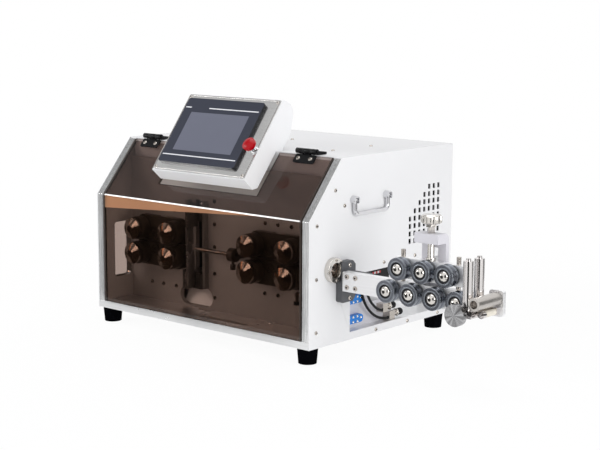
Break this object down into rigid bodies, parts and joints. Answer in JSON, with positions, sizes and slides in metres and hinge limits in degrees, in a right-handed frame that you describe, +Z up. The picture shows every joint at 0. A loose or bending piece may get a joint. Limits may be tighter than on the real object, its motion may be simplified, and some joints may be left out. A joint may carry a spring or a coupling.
{
  "type": "wire cutting and stripping machine",
  "caption": "Bench-top wire cutting and stripping machine with a hinged smoked cover, driven feed wheels, moving V blades, a tilted operator panel and an outboard roller straightener",
  "frame": {"origin": "middle of the overall footprint, at the floor under the feet", "axes": "+X to the right towards the straightener, +Y to the back, +Z up; the front faces -Y"},
  "size_m": [0.8996, 0.4302, 0.4534],
  "materials": {
    "white_paint": "satin",
    "dark_plate": "satin",
    "aluminium": "brushed",
    "steel": "brushed",
    "chrome": "polished",
    "black_metal": "satin",
    "grey_paint": "satin",
    "rubber": "matte",
    "black_plastic": "matte",
    "screen_plastic": "gloss",
    "red_plastic": "gloss",
    "smoked_acrylic": "gloss",
    "roller_steel": "satin",
    "valve_metal": "satin",
    "tube_plastic": "gloss",
    "blue_plastic": "matte"
  },
  "bodies": {
    "machine": {"base_plate": "aluminium", "side_frames": "aluminium", "main_plate": "dark_plate", "top_cover": "white_paint", "right_panel": "white_paint", "left_panel": "white_paint", "rear_panel": "white_paint", "rubber_feet": "rubber", "panel_screws": "steel", "operator_box": "white_paint", "operator_plate": "steel", "touch_panel": "screen_plastic", "stop_collar": "chrome", "hinge_bases": "black_metal", "lower_feed_blocks": "black_metal", "slide_rails": "steel", "drive_housings": "grey_paint", "drive_motors": "dark_plate", "wire_guide": "steel", "inlet_bush": "steel", "handle_bosses": "chrome", "straightener_bracket": "grey_paint", "straightener_arm": "aluminium", "straightener_gantry": "aluminium", "straightener_pins": "steel", "fairlead_frame": "steel", "air_valves": "valve_metal", "air_tubes": "tube_plastic", "electrics": "blue_plastic"},
    "cover": {"front_cover": "smoked_acrylic", "cover_hinges": "black_metal"},
    "stop_button": {"stop_button": "red_plastic"},
    "infeed_upper_block": {"infeed_upper_block": "black_metal"},
    "outfeed_upper_block": {"outfeed_upper_block": "black_metal"},
    "upper_blade_carrier": {"upper_blade_carrier": "steel"},
    "lower_blade_carrier": {"lower_blade_carrier": "steel"},
    "blade_screw": {"blade_screw": "steel"},
    "straightener_slide": {"straightener_slide": "aluminium"},
    "adjuster": {"adjuster": "chrome"},
    "clamp_knob": {"clamp_knob": "chrome"},
    "right_handle": {"right_handle": "chrome"},
    "left_handle": {"left_handle": "chrome"},
    "fairlead_front": {"fairlead_front": "chrome"},
    "fairlead_rear": {"fairlead_rear": "chrome"},
    "fairlead_tube": {"fairlead_tube": "chrome"},
    "infeed_wheel_la": {"infeed_wheel_la": "chrome"},
    "infeed_wheel_lb": {"infeed_wheel_lb": "chrome"},
    "infeed_wheel_ua": {"infeed_wheel_ua": "chrome"},
    "infeed_wheel_ub": {"infeed_wheel_ub": "chrome"},
    "outfeed_wheel_la": {"outfeed_wheel_la": "chrome"},
    "outfeed_wheel_lb": {"outfeed_wheel_lb": "chrome"},
    "outfeed_wheel_ua": {"outfeed_wheel_ua": "chrome"},
    "outfeed_wheel_ub": {"outfeed_wheel_ub": "chrome"},
    "lower_roller_a": {"lower_roller_a": "roller_steel"},
    "lower_roller_b": {"lower_roller_b": "roller_steel"},
    "lower_roller_c": {"lower_roller_c": "roller_steel"},
    "lower_roller_d": {"lower_roller_d": "roller_steel"},
    "upper_roller_a": {"upper_roller_a": "roller_steel"},
    "upper_roller_b": {"upper_roller_b": "roller_steel"},
    "upper_roller_c": {"upper_roller_c": "roller_steel"}
  },
  "joints": [
    {"name": "cover_hinge", "type": "hinge", "parent": "machine", "child": "cover", "pos_m": [-0.16325, -0.1271, 0.367], "axis": [-1, 0, 0], "range_deg": [0, 85]},
    {"name": "stop_press", "type": "slide", "parent": "machine", "child": "stop_button", "axis": [0, 0.7944, -0.6074], "range_m": [0, 0.004], "stiffness_N_per_m": 1500},
    {"name": "infeed_lift", "type": "slide", "parent": "machine", "child": "infeed_upper_block", "axis": [0, 0, 1], "range_m": [0, 0.006]},
    {"name": "infeed_la_turn", "type": "hinge", "parent": "machine", "child": "infeed_wheel_la", "pos_m": [-0.07145, -0.1611, 0.1395], "axis": [0, 1, 0], "continuous": true},
    {"name": "infeed_lb_turn", "type": "hinge", "parent": "machine", "child": "infeed_wheel_lb", "pos_m": [0.02195, -0.1611, 0.1395], "axis": [0, 1, 0], "continuous": true},
    {"name": "infeed_ua_turn", "type": "hinge", "parent": "infeed_upper_block", "child": "infeed_wheel_ua", "pos_m": [-0.07145, -0.1611, 0.1885], "axis": [0, 1, 0], "continuous": true},
    {"name": "infeed_ub_turn", "type": "hinge", "parent": "infeed_upper_block", "child": "infeed_wheel_ub", "pos_m": [0.02195, -0.1611, 0.1885], "axis": [0, 1, 0], "continuous": true},
    {"name": "outfeed_lift", "type": "slide", "parent": "machine", "child": "outfeed_upper_block", "axis": [0, 0, 1], "range_m": [0, 0.006]},
    {"name": "outfeed_la_turn", "type": "hinge", "parent": "machine", "child": "outfeed_wheel_la", "pos_m": [-0.37395, -0.1611, 0.1395], "axis": [0, 1, 0], "continuous": true},
    {"name": "outfeed_lb_turn", "type": "hinge", "parent": "machine", "child": "outfeed_wheel_lb", "pos_m": [-0.28055, -0.1611, 0.1395], "axis": [0, 1, 0], "continuous": true},
    {"name": "outfeed_ua_turn", "type": "hinge", "parent": "outfeed_upper_block", "child": "outfeed_wheel_ua", "pos_m": [-0.37395, -0.1611, 0.1885], "axis": [0, 1, 0], "continuous": true},
    {"name": "outfeed_ub_turn", "type": "hinge", "parent": "outfeed_upper_block", "child": "outfeed_wheel_ub", "pos_m": [-0.28055, -0.1611, 0.1885], "axis": [0, 1, 0], "continuous": true},
    {"name": "blade_screw_turn", "type": "hinge", "parent": "machine", "child": "blade_screw", "pos_m": [-0.23325, -0.0901, 0.178], "axis": [0, 0, 1], "range_deg": [0, 1260]},
    {"name": "upper_blade_slide", "type": "slide", "parent": "machine", "child": "upper_blade_carrier", "axis": [0, 0, -1], "range_m": [0, 0.014]},
    {"name": "lower_blade_slide", "type": "slide", "parent": "machine", "child": "lower_blade_carrier", "axis": [0, 0, 1], "range_m": [0, 0.014]},
    {"name": "straightener_lift", "type": "slide", "parent": "machine", "child": "straightener_slide", "axis": [0, 0, 1], "range_m": [-0.005, 0.009]},
    {"name": "adjuster_turn", "type": "hinge", "parent": "straightener_slide", "child": "adjuster", "pos_m": [0.31725, -0.1421, 0.248], "axis": [0, 0, 1], "range_deg": [-1028.57, 1851.43]},
    {"name": "clamp_turn", "type": "hinge", "parent": "machine", "child": "clamp_knob", "pos_m": [0.40775, -0.1951, 0.134], "axis": [0, 1, 0], "range_deg": [0, 180]},
    {"name": "right_handle_swing", "type": "hinge", "parent": "machine", "child": "right_handle", "pos_m": [0.11735, -0.0491, 0.2835], "axis": [0, -1, 0], "range_deg": [0, 90]},
    {"name": "left_handle_swing", "type": "hinge", "parent": "machine", "child": "left_handle", "pos_m": [-0.44385, -0.0491, 0.2835], "axis": [0, 1, 0], "range_deg": [0, 90]},
    {"name": "lower_a_roll", "type": "hinge", "parent": "machine", "child": "lower_roller_a", "pos_m": [0.24245, -0.1611, 0.1456], "axis": [0, 1, 0], "continuous": true},
    {"name": "lower_b_roll", "type": "hinge", "parent": "machine", "child": "lower_roller_b", "pos_m": [0.29045, -0.1611, 0.1456], "axis": [0, 1, 0], "continuous": true},
    {"name": "lower_c_roll", "type": "hinge", "parent": "machine", "child": "lower_roller_c", "pos_m": [0.33845, -0.1611, 0.1456], "axis": [0, 1, 0], "continuous": true},
    {"name": "lower_d_roll", "type": "hinge", "parent": "machine", "child": "lower_roller_d", "pos_m": [0.38645, -0.1611, 0.1456], "axis": [0, 1, 0], "continuous": true},
    {"name": "upper_a_roll", "type": "hinge", "parent": "straightener_slide", "child": "upper_roller_a", "pos_m": [0.26645, -0.1611, 0.1874], "axis": [0, 1, 0], "continuous": true},
    {"name": "upper_b_roll", "type": "hinge", "parent": "straightener_slide", "child": "upper_roller_b", "pos_m": [0.31445, -0.1611, 0.1874], "axis": [0, 1, 0], "continuous": true},
    {"name": "upper_c_roll", "type": "hinge", "parent": "straightener_slide", "child": "upper_roller_c", "pos_m": [0.36245, -0.1611, 0.1874], "axis": [0, 1, 0], "continuous": true},
    {"name": "fairlead_front_roll", "type": "hinge", "parent": "machine", "child": "fairlead_front", "pos_m": [0.41675, -0.1771, 0.178], "axis": [0, 0, 1], "continuous": true},
    {"name": "fairlead_rear_roll", "type": "hinge", "parent": "machine", "child": "fairlead_rear", "pos_m": [0.41675, -0.1451, 0.178], "axis": [0, 0, 1], "continuous": true},
    {"name": "fairlead_tube_roll", "type": "hinge", "parent": "machine", "child": "fairlead_tube", "pos_m": [0.43725, -0.1611, 0.154], "axis": [0, 1, 0], "continuous": true}
  ],
  "couplings": [
    {"joint": "infeed_lb_turn", "follows": "infeed_la_turn", "ratio": 1},
    {"joint": "infeed_ua_turn", "follows": "infeed_la_turn", "ratio": -1},
    {"joint": "infeed_ub_turn", "follows": "infeed_la_turn", "ratio": -1},
    {"joint": "outfeed_lb_turn", "follows": "outfeed_la_turn", "ratio": 1},
    {"joint": "outfeed_ua_turn", "follows": "outfeed_la_turn", "ratio": -1},
    {"joint": "outfeed_ub_turn", "follows": "outfeed_la_turn", "ratio": -1},
    {"joint": "blade_screw_turn", "follows": "upper_blade_slide", "rad_per_m": 1570.8},
    {"joint": "lower_blade_slide", "follows": "upper_blade_slide", "ratio": 1},
    {"joint": "adjuster_turn", "follows": "straightener_lift", "rad_per_m": 3590.4}
  ]
}
